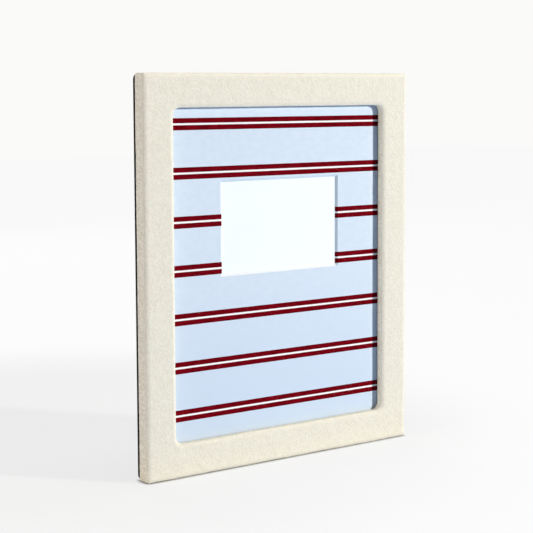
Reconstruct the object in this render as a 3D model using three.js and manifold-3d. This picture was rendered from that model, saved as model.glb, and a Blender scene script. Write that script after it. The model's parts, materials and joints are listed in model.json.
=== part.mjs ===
// A felt-covered picture frame that stands upright on a strut or hangs on a wall.
// Millimetres. X runs to the right as seen from the front, Y from front to back, Z up.
// The origin is the middle of the frame's bottom face, halfway through the depth of its cover.
import * as THREE from "three";
import { mergeVertices } from "three/addons/utils/BufferGeometryUtils.js";
import Module from "manifold-3d";

const wasm = await Module();
wasm.setup();

// Clearances
const SHEET_CLEARANCE = 0.5; // between a sheet's edge and the rebate round it
const SHEET_GAP = 0.05; // between flat sheets that lie on each other
const LAYER_GAP = 0.3; // between a soft, turned or cut piece and its seat
const MITRE_GAP = 0.2; // glue line of a corner joint

// Glazing
const GLAZING_WIDTH = 280;
const GLAZING_HEIGHT = 350;
const GLAZING_THICKNESS = 1.2;

// Rails and their fabric cover
const FACE_WIDTH = 35; // a covered rail, seen from the front
const LIP_OVERLAP = 3; // how far the covered lip hides the glazing's edge
const LIP_DEPTH = 8.8; // from the front face to the back of the lip
const COVER_DEPTH = 17.5; // from the front face to the back of the cover
const COVER_THICKNESS = 1.2;
const COVER_TURN_IN = 14; // fabric glued round onto the back
const FRONT_EDGE_RADIUS = 6.5;
const LIP_EDGE_RADIUS = 3.2;
const BACK_FOLD_RADIUS = 0.3; // inside the fold at the back edge
const CORNER_RADIUS = 2.5; // outer corners, seen from the front
const OPENING_CORNER_RADIUS = 8;
const SHARP_RADIUS = 0.3; // corners that are square to the eye
const CORNER_STEPS = 6;
const EDGE_STEPS = 5;

// Corner nails, bent to a right angle across each mitre
const NAIL_LEG = 10;
const NAIL_DEPTH = 9;
const NAIL_THICKNESS = 1.2;
const NAIL_INSET = 16; // from the cover's outer sides to the bend

// Mat, print and fillers
const FACING_THICKNESS = 0.3;
const MAT_THICKNESS = 2;
const WINDOW_WIDTH = 155; // at the front of the bevel
const WINDOW_HEIGHT = 101;
const WINDOW_SHIFT = 3; // the window's middle to the right of the frame's middle
const WINDOW_RISE = 46; // the window's middle above the frame's middle
const PRINT_WIDTH = 152.4;
const PRINT_HEIGHT = 101.6;
const PRINT_THICKNESS = 0.3;
const FILLER_COUNT = 2;

// Back cover and the backing panel cut from the same board
const BOARD_THICKNESS = 3;
const BACK_COVER_INSET = 0.2;
const BACK_COVER_RADIUS = 6;

// Turn buttons and their screws
const BUTTON_WIDTH = 9;
const BUTTON_ARM = 17; // from the screw to the tip
const BUTTON_THICKNESS = 1.2;
const BUTTON_SETBACK = 10; // from the panel's rebate to the screw
const BUTTON_CORNER = 31; // from the panel's upright edge to an upper or lower screw
const SCREW_RADIUS = 1.4;
const SCREW_LENGTH = 11;
const SCREW_HEAD_RADIUS = 3;
const SCREW_HEAD_HEIGHT = 1.6;
const SCREW_SLOT_WIDTH = 0.8;
const SCREW_SLOT_DEPTH = 0.7;

// Strut: a board wing on an upright axis
const STRUT_WIDTH = 95; // from the axis to the tip of the foot
const STRUT_TOP_WIDTH = 30;
const STRUT_HEIGHT = 236;
const STRUT_FOOT_HEIGHT = 8; // upright part of the outer edge
const STRUT_THICKNESS = 3;
const STRUT_ROUNDING = 6;
const STRUT_OPEN_ANGLE = 80; // degrees from the panel, against the hinge stop
const STRUT_AXIS_OFFSET = 8; // axis to the left of the middle, seen from the front
const STRUT_FOLDED_GAP = 0.5; // between the folded strut and the panel

// Strut hinges
const HINGE_LENGTH = 40;
const HINGE_MARGIN = 40; // from the strut's top, and the panel's bottom, to a hinge's middle
const LEAF_WIDTH = 15; // from the axis to the leaf's edge
const LEAF_THICKNESS = 1;
const KNUCKLE_LENGTH = 14; // the middle knuckle
const PIN_RADIUS = 1;
const PIN_HEAD_HEIGHT = 0.8;
const STOP_HEIGHT = 5.4; // stop tab, from the panel
const STOP_LENGTH = 10;
const RIVET_RADIUS = 1.2;
const RIVET_HEAD_RADIUS = 2.2;
const RIVET_HEAD_HEIGHT = 1;
const RIVET_SPACING = 24;
const RIVET_REACH = 9.5; // from the axis to a rivet

// Sawtooth hanger
const HANGER_LENGTH = 46;
const HANGER_HEIGHT = 9;
const HANGER_THICKNESS = 0.9;
const HANGER_FOOT = 9; // flat end that is nailed down
const HANGER_RISE = 1.6; // the toothed middle stands off the board
const HANGER_DROP = 18; // from the frame's top to the hanger's middle
const TOOTH_PITCH = 3.2;
const TOOTH_HEIGHT = 2;
const HANGER_NAIL_RADIUS = 0.8;
const HANGER_NAIL_LENGTH = 9;
const HANGER_NAIL_HEAD_RADIUS = 2;
const HANGER_NAIL_HEAD_HEIGHT = 0.7;

// Facets of round pieces
const ROUND_STEPS = 16;

// Sizes that follow from the ones above
const OPENING_WIDTH = GLAZING_WIDTH - 2 * LIP_OVERLAP;
const OPENING_HEIGHT = GLAZING_HEIGHT - 2 * LIP_OVERLAP;
const FRAME_WIDTH = OPENING_WIDTH + 2 * FACE_WIDTH;
const FRAME_HEIGHT = OPENING_HEIGHT + 2 * FACE_WIDTH;
const CENTRE_HEIGHT = FRAME_HEIGHT / 2;
const FRONT = -COVER_DEPTH / 2;
const BACK_EDGE_RADIUS = COVER_THICKNESS + BACK_FOLD_RADIUS;
const RAIL_INSET = COVER_THICKNESS + LAYER_GAP;
const RAIL_BACK = COVER_DEPTH - RAIL_INSET;
const REBATE_INSET = FACE_WIDTH - LIP_OVERLAP - SHEET_CLEARANCE;
const REBATE_WIDTH = GLAZING_WIDTH + 2 * SHEET_CLEARANCE;
const REBATE_HEIGHT = GLAZING_HEIGHT + 2 * SHEET_CLEARANCE;
const BOARD_FRONT = FRONT + COVER_DEPTH + SHEET_GAP;
const BOARD_BACK = BOARD_FRONT + BOARD_THICKNESS;
const PANEL_BOTTOM = CENTRE_HEIGHT - GLAZING_HEIGHT / 2;
const STRUT_STACK = STRUT_THICKNESS + LAYER_GAP + LEAF_THICKNESS;
const KNUCKLE_RADIUS = (STRUT_STACK + STRUT_FOLDED_GAP) / 2;

// Finishes
const finish = (color, roughness, metalness = 0) =>
  new THREE.MeshStandardMaterial({ color, roughness, metalness });
const FELT = finish(0xefebdf, 0.95);
const FIBREBOARD = finish(0xb08d63, 0.9);
const STEEL = finish(0xb9bcc0, 0.35, 1);
const BRASSED = finish(0xc9a85c, 0.35, 1);
const BLUE_PAPER = finish(0xdbe5f1, 0.8);
const WHITE_BOARD = finish(0xf6f5f0, 0.85);
const PRINT_PAPER = finish(0xfafcfd, 0.6);
const GREYBOARD = finish(0xa89c8a, 0.95);
const BLACK_BOARD = finish(0x161513, 0.95);
const GLASS = new THREE.MeshStandardMaterial({
  color: 0xf4fbfa,
  roughness: 0.05,
  transparent: true,
  opacity: 0.2,
});

const frame = new THREE.Group();

// Adds a named piece to a group, at a place in that group.
function addPiece(name, geometry, material, place = [0, 0, 0], parent = frame) {
  const mesh = new THREE.Mesh(geometry, material);
  mesh.name = name;
  mesh.position.set(...place);
  parent.add(mesh);
  return mesh;
}

// A closed geometry as a solid that can be cut and joined.
function toSolid(geometry) {
  const bare = geometry.clone();
  bare.deleteAttribute("normal");
  bare.deleteAttribute("uv");
  const merged = mergeVertices(bare);
  return new wasm.Manifold(
    new wasm.Mesh({
      numProp: 3,
      vertProperties: merged.attributes.position.array,
      triVerts: new Uint32Array(merged.index.array),
    }),
  );
}

// A cut or joined solid as a geometry.
function toGeometry(solid) {
  const mesh = solid.getMesh();
  const geometry = new THREE.BufferGeometry();
  geometry.setAttribute("position", new THREE.BufferAttribute(mesh.vertProperties, 3));
  geometry.setIndex(new THREE.BufferAttribute(mesh.triVerts, 1));
  geometry.computeVertexNormals();
  return geometry;
}

// A block between two corners.
function block(low, high) {
  const size = high.map((value, axis) => value - low[axis]);
  const middle = high.map((value, axis) => (value + low[axis]) / 2);
  return new THREE.BoxGeometry(...size).translate(...middle);
}

// A round bar along Y from one depth to another.
function barAlongY(radius, from, to, x, z) {
  const bar = new THREE.CylinderGeometry(radius, radius, to - from, ROUND_STEPS);
  return bar.translate(x, (from + to) / 2, z);
}

// A round bar along Z from one height to another.
function barAlongZ(radius, from, to) {
  return new THREE.CylinderGeometry(radius, radius, to - from, ROUND_STEPS)
    .rotateX(Math.PI / 2)
    .translate(0, 0, (from + to) / 2);
}

// A shape drawn in X and Z, given its thickness along Y.
function plate(shape, thickness) {
  const settings = { depth: thickness, bevelEnabled: false, curveSegments: EDGE_STEPS };
  return new THREE.ExtrudeGeometry(shape, settings).rotateX(Math.PI / 2).translate(0, thickness, 0);
}

// An outline with its corners rounded; each point is [x, z, radius].
function roundedOutline(points) {
  const shape = new THREE.Shape();
  points.forEach(([x, z, radius], i) => {
    const corner = new THREE.Vector2(x, z);
    const [beforeX, beforeZ] = points[(i + points.length - 1) % points.length];
    const [afterX, afterZ] = points[(i + 1) % points.length];
    const before = new THREE.Vector2(beforeX, beforeZ).sub(corner).setLength(radius).add(corner);
    const after = new THREE.Vector2(afterX, afterZ).sub(corner).setLength(radius).add(corner);
    if (i === 0) shape.moveTo(before.x, before.y);
    else shape.lineTo(before.x, before.y);
    if (radius > 0) shape.quadraticCurveTo(x, z, after.x, after.y);
  });
  shape.closePath();
  return shape;
}

// A rectangle centred on the origin.
function rectangle(width, height, radius = 0) {
  const [x, z] = [width / 2, height / 2];
  return roundedOutline([
    [-x, -z, radius],
    [x, -z, radius],
    [x, z, radius],
    [-x, z, radius],
  ]);
}

// A round hole to take out of a shape.
function roundHole(x, z, radius) {
  const hole = new THREE.Path();
  hole.absarc(x, z, radius, 0, 2 * Math.PI, true);
  return hole;
}

// The corner points of one loop of a ring: a rounded rectangle in X and Z at one depth.
function loopPoints({ width, height, radius, x = 0, y, z }, steps) {
  const points = [];
  for (let corner = 0; corner < 4; corner++) {
    const right = corner === 0 || corner === 3 ? 1 : -1;
    const up = corner < 2 ? 1 : -1;
    for (let step = 0; step <= steps; step++) {
      const angle = (corner + (steps ? step / steps : 0)) * (Math.PI / 2);
      points.push(
        x + right * (width / 2 - radius) + radius * Math.cos(angle),
        y,
        z + up * (height / 2 - radius) + radius * Math.sin(angle),
      );
    }
  }
  return points;
}

// A closed ring whose section is drawn by a cycle of loops.
function ring(loops, steps) {
  const count = 4 * (steps + 1);
  const index = [];
  loops.forEach((_, i) => {
    const next = (i + 1) % loops.length;
    for (let k = 0; k < count; k++) {
      const [a, b] = [i * count + k, i * count + ((k + 1) % count)];
      const [c, d] = [next * count + k, next * count + ((k + 1) % count)];
      index.push(a, b, d, a, d, c);
    }
  });
  const geometry = new THREE.BufferGeometry();
  const points = loops.flatMap((loop) => loopPoints(loop, steps));
  geometry.setAttribute("position", new THREE.Float32BufferAttribute(points, 3));
  geometry.setIndex(index);
  geometry.computeVertexNormals();
  return geometry;
}

// A loop round the frame, by its inset from the cover's outer sides and its depth behind the front.
function frameLoop(inset, depth, radius) {
  return {
    width: FRAME_WIDTH - 2 * inset,
    height: FRAME_HEIGHT - 2 * inset,
    radius,
    y: FRONT + depth,
    z: CENTRE_HEIGHT,
  };
}

// Loops near the outer sides keep the outer corner's centre, and loops near the lip the opening's.
const outerLoop = (inset, depth) => frameLoop(inset, depth, Math.max(CORNER_RADIUS - inset, SHARP_RADIUS));
const lipLoop = (inset, depth) => frameLoop(inset, depth, OPENING_CORNER_RADIUS + FACE_WIDTH - inset);

// A quarter round of loops; the section's angle runs from one value to another about its centre.
function quarter(loop, inset, depth, radius, fromAngle, toAngle) {
  return Array.from({ length: EDGE_STEPS + 1 }, (_, i) => {
    const angle = THREE.MathUtils.degToRad(fromAngle + ((toAngle - fromAngle) * i) / EDGE_STEPS);
    return loop(inset + radius * Math.cos(angle), depth + radius * Math.sin(angle));
  });
}

// The section's three rounded edges, drawn at some distance inside the cover's outer surface.
const backEdge = (within, from, to) =>
  quarter(outerLoop, BACK_EDGE_RADIUS, COVER_DEPTH - BACK_EDGE_RADIUS, BACK_EDGE_RADIUS - within, from, to);
const frontEdge = (within, from, to) =>
  quarter(outerLoop, FRONT_EDGE_RADIUS, FRONT_EDGE_RADIUS, FRONT_EDGE_RADIUS - within, from, to);
const lipEdge = (within, from, to) =>
  quarter(lipLoop, FACE_WIDTH - LIP_EDGE_RADIUS, LIP_EDGE_RADIUS, LIP_EDGE_RADIUS - within, from, to);

// The cover: turned in on the back, round the side, over the face and down the lip.
function fabricCover() {
  const outside = [
    outerLoop(COVER_TURN_IN, COVER_DEPTH),
    ...backEdge(0, 90, 180),
    ...frontEdge(0, 180, 270),
    ...lipEdge(0, 270, 360),
    lipLoop(FACE_WIDTH, LIP_DEPTH),
  ];
  const inside = [
    lipLoop(FACE_WIDTH - COVER_THICKNESS, LIP_DEPTH),
    ...lipEdge(COVER_THICKNESS, 360, 270),
    ...frontEdge(COVER_THICKNESS, 270, 180),
    ...backEdge(COVER_THICKNESS, 180, 90),
    outerLoop(COVER_TURN_IN, COVER_DEPTH - COVER_THICKNESS),
  ];
  return toGeometry(cutBy(toSolid(ring([...outside, ...inside], CORNER_STEPS)), PILOTS));
}

// The four rails as one ring, before its corners are mitred.
function railRing() {
  return ring(
    [
      frameLoop(REBATE_INSET, RAIL_BACK, SHARP_RADIUS),
      outerLoop(RAIL_INSET, RAIL_BACK),
      ...frontEdge(RAIL_INSET, 180, 270),
      ...lipEdge(RAIL_INSET, 270, 360),
      lipLoop(FACE_WIDTH - RAIL_INSET, LIP_DEPTH),
      frameLoop(REBATE_INSET, LIP_DEPTH, SHARP_RADIUS),
    ],
    CORNER_STEPS,
  );
}

// The part of the ring that belongs to one side: a trapezium between two mitres.
function mitreWedge(side) {
  const length = side.across ? FRAME_WIDTH : FRAME_HEIGHT;
  const reach = FACE_WIDTH + LIP_OVERLAP;
  const [outer, inner] = [length / 2 - MITRE_GAP, length / 2 - MITRE_GAP - reach];
  const edge = (side.across ? FRAME_HEIGHT : FRAME_WIDTH) / 2;
  const shape = roundedOutline([
    [-outer, edge, 0],
    [-inner, edge - reach, 0],
    [inner, edge - reach, 0],
    [outer, edge, 0],
  ]);
  return plate(shape, COVER_DEPTH)
    .translate(0, FRONT, 0)
    .rotateY(side.turn)
    .translate(0, 0, CENTRE_HEIGHT);
}

// An angle nail's outline about its bend, with its legs towards the frame's middle.
function cornerNailShape(right, up, clearance) {
  const [legs, half] = [NAIL_LEG + clearance, NAIL_THICKNESS / 2 + clearance];
  const at = (x, z) => [-right * x, -up * z, 0];
  const outline = [
    at(-half, -half),
    at(legs, -half),
    at(legs, half),
    at(half, half),
    at(half, legs),
    at(-half, legs),
  ];
  return roundedOutline(right === up ? outline : outline.reverse());
}

const CORNERS = [
  { name: "top_right", right: 1, up: 1 },
  { name: "top_left", right: -1, up: 1 },
  { name: "bottom_left", right: -1, up: -1 },
  { name: "bottom_right", right: 1, up: -1 },
];
const cornerNailPlace = ({ right, up }, depth) => [
  right * (FRAME_WIDTH / 2 - NAIL_INSET),
  FRONT + RAIL_BACK - depth,
  CENTRE_HEIGHT + up * (FRAME_HEIGHT / 2 - NAIL_INSET),
];

// Where the turn buttons sit: in pairs on the top and bottom, near the panel's corners, and one a side.
const BUTTON_SPREAD = GLAZING_WIDTH / 2 - BUTTON_CORNER;
const BUTTON_SIDE = REBATE_WIDTH / 2 + BUTTON_SETBACK;
const BUTTON_RISE = REBATE_HEIGHT / 2 + BUTTON_SETBACK;
const BUTTONS = [
  { name: "top_left", x: -BUTTON_SPREAD, z: CENTRE_HEIGHT + BUTTON_RISE, pointing: -90 },
  { name: "top_right", x: BUTTON_SPREAD, z: CENTRE_HEIGHT + BUTTON_RISE, pointing: -90 },
  { name: "left", x: -BUTTON_SIDE, z: CENTRE_HEIGHT, pointing: 0 },
  { name: "right", x: BUTTON_SIDE, z: CENTRE_HEIGHT, pointing: 180 },
  { name: "bottom_left", x: -BUTTON_SPREAD, z: CENTRE_HEIGHT - BUTTON_RISE, pointing: 90 },
  { name: "bottom_right", x: BUTTON_SPREAD, z: CENTRE_HEIGHT - BUTTON_RISE, pointing: 90 },
];

// Where the hanger's nails go.
const HANGER_Z = FRAME_HEIGHT - HANGER_DROP;
const HANGER_NAIL_X = (HANGER_LENGTH - HANGER_FOOT) / 2;
const HANGER_NAILS = [
  { name: "left", x: -HANGER_NAIL_X },
  { name: "right", x: HANGER_NAIL_X },
];

// Holes that the screws and nails fill in the back cover and the rails.
const FIXING_HOLES = [
  ...BUTTONS.map(({ x, z }) => ({ x, z, radius: SCREW_RADIUS + LAYER_GAP })),
  ...HANGER_NAILS.map(({ x }) => ({ x, z: HANGER_Z, radius: HANGER_NAIL_RADIUS + LAYER_GAP })),
];
const PILOT_DEPTH = Math.max(SCREW_LENGTH, HANGER_NAIL_LENGTH);
const PILOTS = FIXING_HOLES.map(({ x, z, radius }) =>
  toSolid(barAlongY(radius, BOARD_BACK - PILOT_DEPTH, BOARD_BACK, x, z)),
);

// A solid with several others taken out of it.
const cutBy = (solid, cuts) => cuts.reduce((left, cut) => left.subtract(cut), solid);

function addRails() {
  const whole = toSolid(railRing());
  const pockets = CORNERS.map((corner) => {
    const shape = cornerNailShape(corner.right, corner.up, LAYER_GAP);
    const pocket = plate(shape, NAIL_DEPTH + 2 * LAYER_GAP);
    return toSolid(pocket.translate(...cornerNailPlace(corner, NAIL_DEPTH + LAYER_GAP)));
  });
  const sides = [
    { name: "rail_top", across: true, turn: 0 },
    { name: "rail_right", across: false, turn: Math.PI / 2 },
    { name: "rail_bottom", across: true, turn: Math.PI },
    { name: "rail_left", across: false, turn: -Math.PI / 2 },
  ];
  for (const side of sides) {
    const rail = whole.intersect(toSolid(mitreWedge(side)));
    addPiece(side.name, toGeometry(cutBy(rail, [...pockets, ...PILOTS])), FIBREBOARD);
  }
  for (const corner of CORNERS) {
    const nail = plate(cornerNailShape(corner.right, corner.up, 0), NAIL_DEPTH);
    addPiece(`corner_nail_${corner.name}`, nail, STEEL, cornerNailPlace(corner, NAIL_DEPTH));
  }
}

// Loops of the mat about the frame's middle: its rim, and its window, which is smaller by a taper a side.
const matRim = (y) => ({ width: GLAZING_WIDTH, height: GLAZING_HEIGHT, radius: 0, y, z: 0 });
const matWindow = (taper, y) => ({
  width: WINDOW_WIDTH - 2 * taper,
  height: WINDOW_HEIGHT - 2 * taper,
  radius: 0,
  x: WINDOW_SHIFT,
  y,
  z: WINDOW_RISE,
});
const BOARD_SETBACK = FACING_THICKNESS + SHEET_GAP; // from the facing's front to the board's

// The facing is turned over the window's edge, which slants at 45 degrees, as far as the board's back.
function matFacing() {
  const edge = BOARD_SETBACK + MAT_THICKNESS;
  const layer = FACING_THICKNESS * Math.SQRT2;
  return ring(
    [
      matRim(FACING_THICKNESS),
      matRim(0),
      matWindow(0, 0),
      matWindow(edge, edge),
      matWindow(edge - layer, edge),
      matWindow(FACING_THICKNESS - layer, FACING_THICKNESS),
    ],
    0,
  );
}

function matBoard() {
  const start = BOARD_SETBACK * (1 - Math.SQRT2);
  return ring(
    [
      matRim(MAT_THICKNESS),
      matRim(0),
      matWindow(start, 0),
      matWindow(start + MAT_THICKNESS, MAT_THICKNESS),
    ],
    0,
  );
}

// The sheets behind the lip, laid from front to back.
function addSheets() {
  let depth = FRONT + LIP_DEPTH + SHEET_GAP;
  const lay = (name, geometry, thickness, material, x = 0, z = CENTRE_HEIGHT) => {
    addPiece(name, geometry, material, [x, depth, z]);
    depth += thickness + SHEET_GAP;
  };
  const sheet = (thickness) => plate(rectangle(GLAZING_WIDTH, GLAZING_HEIGHT), thickness);

  lay("glazing", sheet(GLAZING_THICKNESS), GLAZING_THICKNESS, GLASS);
  lay("mat_facing", matFacing(), FACING_THICKNESS, BLUE_PAPER);
  lay("mat_board", matBoard(), MAT_THICKNESS, WHITE_BOARD);
  const print = plate(rectangle(PRINT_WIDTH, PRINT_HEIGHT), PRINT_THICKNESS);
  lay("photo_print", print, PRINT_THICKNESS, PRINT_PAPER, WINDOW_SHIFT, CENTRE_HEIGHT + WINDOW_RISE);

  const fillerThickness = (BOARD_FRONT - depth) / FILLER_COUNT - SHEET_GAP;
  for (const name of ["filler_front", "filler_rear"]) {
    lay(name, sheet(fillerThickness), fillerThickness, GREYBOARD);
  }
}

// The strut's hinges stand on its axis, one near its top and one near the panel's bottom.
const STRUT_AXIS_X = -STRUT_AXIS_OFFSET;
const HINGES = [
  { name: "hinge_lower", z: PANEL_BOTTOM + HINGE_MARGIN },
  { name: "hinge_upper", z: STRUT_HEIGHT - HINGE_MARGIN },
];
const RIVET_SIDES = [
  { name: "lower", z: -RIVET_SPACING / 2 },
  { name: "upper", z: RIVET_SPACING / 2 },
];

function addBackBoards() {
  const cover = rectangle(
    FRAME_WIDTH - 2 * BACK_COVER_INSET,
    FRAME_HEIGHT - 2 * BACK_COVER_INSET,
    BACK_COVER_RADIUS,
  );
  cover.holes.push(rectangle(REBATE_WIDTH, REBATE_HEIGHT));
  for (const { x, z, radius } of FIXING_HOLES) cover.holes.push(roundHole(x, z - CENTRE_HEIGHT, radius));
  addPiece("back_cover", plate(cover, BOARD_THICKNESS), BLACK_BOARD, [0, BOARD_FRONT, CENTRE_HEIGHT]);

  const panel = rectangle(GLAZING_WIDTH, GLAZING_HEIGHT);
  for (const hinge of HINGES) {
    for (const side of RIVET_SIDES) {
      const z = hinge.z + side.z - CENTRE_HEIGHT;
      panel.holes.push(roundHole(STRUT_AXIS_X - RIVET_REACH, z, RIVET_RADIUS + LAYER_GAP));
    }
  }
  addPiece("backing_panel", plate(panel, BOARD_THICKNESS), BLACK_BOARD, [0, BOARD_FRONT, CENTRE_HEIGHT]);
}

// A domed fastener along Y: its head stands behind Y = 0 and its shank reaches forward to a point.
function fastener(shankRadius, shankLength, headRadius, headHeight, pointLength) {
  const dome = [2 / 3, 1 / 3].map((part) => {
    const angle = (part * Math.PI) / 2;
    return new THREE.Vector2(headRadius * Math.sin(angle), headHeight * Math.cos(angle));
  });
  const profile = [
    new THREE.Vector2(0, -shankLength),
    new THREE.Vector2(pointLength > 0 ? shankRadius / 3 : shankRadius, -shankLength),
    new THREE.Vector2(shankRadius, -shankLength + pointLength),
    new THREE.Vector2(shankRadius, 0),
    new THREE.Vector2(headRadius, 0),
    ...dome,
    new THREE.Vector2(0, headHeight),
  ];
  const distinct = profile.filter((point, i) => i === 0 || !point.equals(profile[i - 1]));
  return new THREE.LatheGeometry(distinct, ROUND_STEPS);
}

function addTurnButtons() {
  const half = BUTTON_WIDTH / 2;
  const outline = new THREE.Shape();
  outline.absarc(0, 0, half, Math.PI / 2, (3 * Math.PI) / 2, false);
  outline.lineTo(BUTTON_ARM - half, -half);
  outline.absarc(BUTTON_ARM - half, 0, half, -Math.PI / 2, Math.PI / 2, false);
  outline.closePath();
  outline.holes.push(roundHole(0, 0, SCREW_RADIUS + LAYER_GAP));

  const seat = BOARD_BACK + SHEET_GAP;
  const headSeat = seat + BUTTON_THICKNESS + SHEET_GAP;
  const screwDepth = SCREW_LENGTH - (headSeat - BOARD_BACK) - LAYER_GAP;
  const slot = toSolid(
    block(
      [-SCREW_HEAD_RADIUS, SCREW_HEAD_HEIGHT - SCREW_SLOT_DEPTH, -SCREW_SLOT_WIDTH / 2],
      [SCREW_HEAD_RADIUS, SCREW_HEAD_HEIGHT + LAYER_GAP, SCREW_SLOT_WIDTH / 2],
    ),
  );
  for (const { name, x, z, pointing } of BUTTONS) {
    const angle = THREE.MathUtils.degToRad(pointing);
    const button = plate(outline, BUTTON_THICKNESS).rotateY(-angle);
    addPiece(`turn_button_${name}`, button, BRASSED, [x, seat, z]);
    const blank = fastener(SCREW_RADIUS, screwDepth, SCREW_HEAD_RADIUS, SCREW_HEAD_HEIGHT, 2 * SCREW_RADIUS);
    const screw = toGeometry(toSolid(blank).subtract(slot));
    addPiece(`button_screw_${name}`, screw, BRASSED, [x, headSeat, z]);
  }
}

// The stop tab of a fixed leaf: it stands against the moving leaf's face when the strut is open.
function hingeStop(foot, clear) {
  const top = STOP_HEIGHT - KNUCKLE_RADIUS;
  const open = THREE.MathUtils.degToRad(STRUT_OPEN_ANGLE);
  const along = (top - KNUCKLE_RADIUS * Math.cos(open)) / Math.sin(open);
  const leafAtTop = along * Math.cos(open) - KNUCKLE_RADIUS * Math.sin(open);
  const face = Math.min(-clear, leafAtTop - LAYER_GAP);
  return block([face - LEAF_THICKNESS, foot, -STOP_LENGTH / 2], [face, top, STOP_LENGTH / 2]);
}

// A hinge leaf about its pin. The fixed leaf lies on the panel, and the moving one on the strut's back.
function hingeLeaf(moving) {
  const [half, middle] = [HINGE_LENGTH / 2, KNUCKLE_LENGTH / 2];
  const clear = KNUCKLE_RADIUS + LAYER_GAP;
  const side = moving ? 1 : -1;
  const faces = [side * KNUCKLE_RADIUS, side * (KNUCKLE_RADIUS - LEAF_THICKNESS)].sort((a, b) => a - b);
  const reach = [0, side * LEAF_WIDTH].sort((a, b) => a - b);
  const knuckles = moving
    ? [[-middle, middle]]
    : [
        [-half, -middle - LAYER_GAP],
        [middle + LAYER_GAP, half],
      ];
  const others = moving
    ? [
        [-half - LAYER_GAP, -middle],
        [middle, half + LAYER_GAP],
      ]
    : [[-middle - LAYER_GAP, middle + LAYER_GAP]];

  let leaf = toSolid(block([reach[0], faces[0], -half], [reach[1], faces[1], half]));
  for (const [from, to] of others) {
    leaf = leaf.subtract(toSolid(block([-clear, -clear, from], [clear, clear, to])));
  }
  for (const [from, to] of knuckles) leaf = leaf.add(toSolid(barAlongZ(KNUCKLE_RADIUS, from, to)));
  if (!moving) leaf = leaf.add(toSolid(hingeStop(faces[0], clear)));
  leaf = leaf.subtract(toSolid(barAlongZ(PIN_RADIUS + LAYER_GAP, -half - LAYER_GAP, half + LAYER_GAP)));
  for (const { z } of RIVET_SIDES) {
    const hole = barAlongY(RIVET_RADIUS + LAYER_GAP, -clear, clear, side * RIVET_REACH, z);
    leaf = leaf.subtract(toSolid(hole));
  }
  return toGeometry(leaf);
}

// A hinge pin with a head at each end.
function hingePin() {
  const end = HINGE_LENGTH / 2 + LAYER_GAP;
  const top = end + PIN_HEAD_HEIGHT;
  const profile = [
    [0, -top],
    [KNUCKLE_RADIUS, -top],
    [KNUCKLE_RADIUS, -end],
    [PIN_RADIUS, -end],
    [PIN_RADIUS, end],
    [KNUCKLE_RADIUS, end],
    [KNUCKLE_RADIUS, top],
    [0, top],
  ].map(([radius, along]) => new THREE.Vector2(radius, along));
  return new THREE.LatheGeometry(profile, ROUND_STEPS).rotateX(Math.PI / 2);
}

// The strut and its hinges. The strut's group turns about the pins, from flat on the panel to open.
function addStrut() {
  const axisY = BOARD_BACK + SHEET_GAP + KNUCKLE_RADIUS;
  const wing = new THREE.Group();
  wing.position.set(STRUT_AXIS_X, axisY, 0);
  wing.rotation.z = THREE.MathUtils.degToRad(STRUT_OPEN_ANGLE);
  frame.add(wing);

  const near = KNUCKLE_RADIUS + 2 * LAYER_GAP;
  const outline = roundedOutline([
    [near, 0, 0],
    [STRUT_WIDTH, 0, 0],
    [STRUT_WIDTH, STRUT_FOOT_HEIGHT, STRUT_ROUNDING],
    [STRUT_TOP_WIDTH, STRUT_HEIGHT, STRUT_ROUNDING],
    [near, STRUT_HEIGHT, 0],
  ]);
  for (const hinge of HINGES) {
    for (const side of RIVET_SIDES) {
      outline.holes.push(roundHole(RIVET_REACH, hinge.z + side.z, RIVET_RADIUS + LAYER_GAP));
    }
  }
  const strutBack = KNUCKLE_RADIUS - LEAF_THICKNESS - LAYER_GAP;
  const strut = plate(outline, STRUT_THICKNESS);
  addPiece("strut", strut, BLACK_BOARD, [0, strutBack - STRUT_THICKNESS, 0], wing);

  const rivet = (grip) => fastener(RIVET_RADIUS, grip, RIVET_HEAD_RADIUS, RIVET_HEAD_HEIGHT, 0);
  const panelGrip = LEAF_THICKNESS + SHEET_GAP + BOARD_THICKNESS;
  const strutGrip = LEAF_THICKNESS + LAYER_GAP + STRUT_THICKNESS;
  const fixedSeat = axisY - KNUCKLE_RADIUS + LEAF_THICKNESS + LAYER_GAP;
  for (const { name, z } of HINGES) {
    addPiece(`${name}_fixed_leaf`, hingeLeaf(false), BRASSED, [STRUT_AXIS_X, axisY, z]);
    addPiece(`${name}_pin`, hingePin(), STEEL, [STRUT_AXIS_X, axisY, z]);
    addPiece(`${name}_moving_leaf`, hingeLeaf(true), BRASSED, [0, 0, z], wing);
    for (const side of RIVET_SIDES) {
      const place = [STRUT_AXIS_X - RIVET_REACH, fixedSeat, z + side.z];
      addPiece(`${name}_panel_rivet_${side.name}`, rivet(panelGrip), BRASSED, place);
      const wingPlace = [RIVET_REACH, KNUCKLE_RADIUS + LAYER_GAP, z + side.z];
      addPiece(`${name}_strut_rivet_${side.name}`, rivet(strutGrip), BRASSED, wingPlace, wing);
    }
  }
}

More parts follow.
